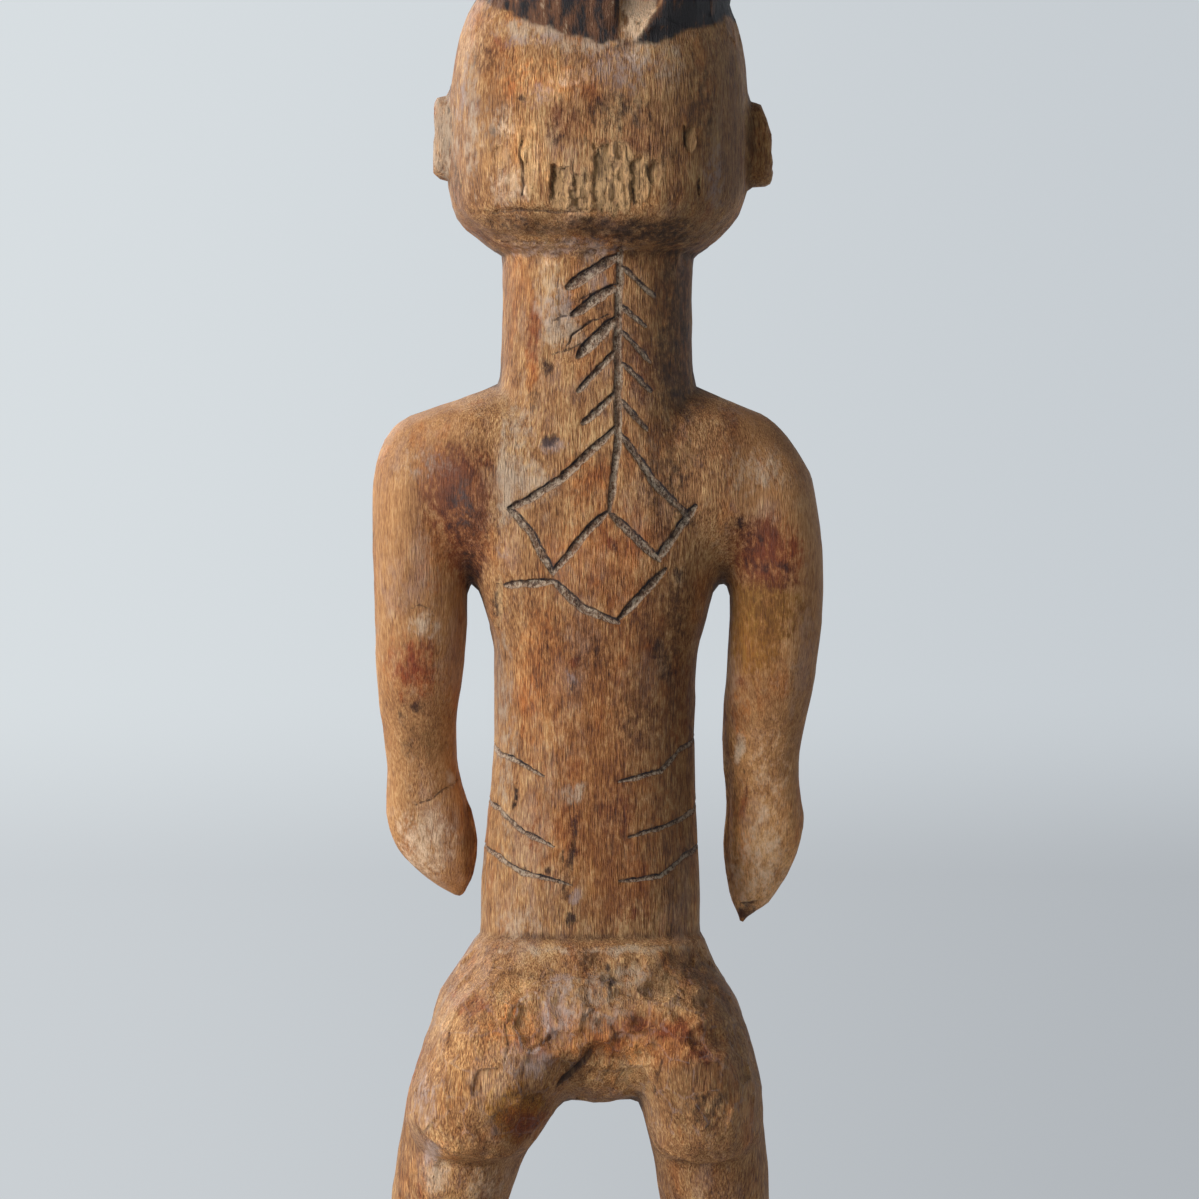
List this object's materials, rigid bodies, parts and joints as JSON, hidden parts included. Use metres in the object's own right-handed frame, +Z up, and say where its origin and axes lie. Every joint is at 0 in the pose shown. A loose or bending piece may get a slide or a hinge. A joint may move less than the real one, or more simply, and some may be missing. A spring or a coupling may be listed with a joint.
{
  "type": "carved wooden standing figure",
  "caption": "Standing human figure carved from one piece of wood, arms at the sides, knees bent, on a low oval base.",
  "frame": {"origin": "middle of the flat underside of the base", "axes": "+Z up, the figure faces -Y, its left hand is on the +X side"},
  "size_m": [0.1443, 0.112, 0.541],
  "materials": {
    "wood": "dry hand-carved hardwood, oiled and worn smooth, burnt dark at the hair, with red and ochre stains"
  },
  "bodies": {
    "root": {"carved_figure": "wood"}
  },
  "joints": []
}
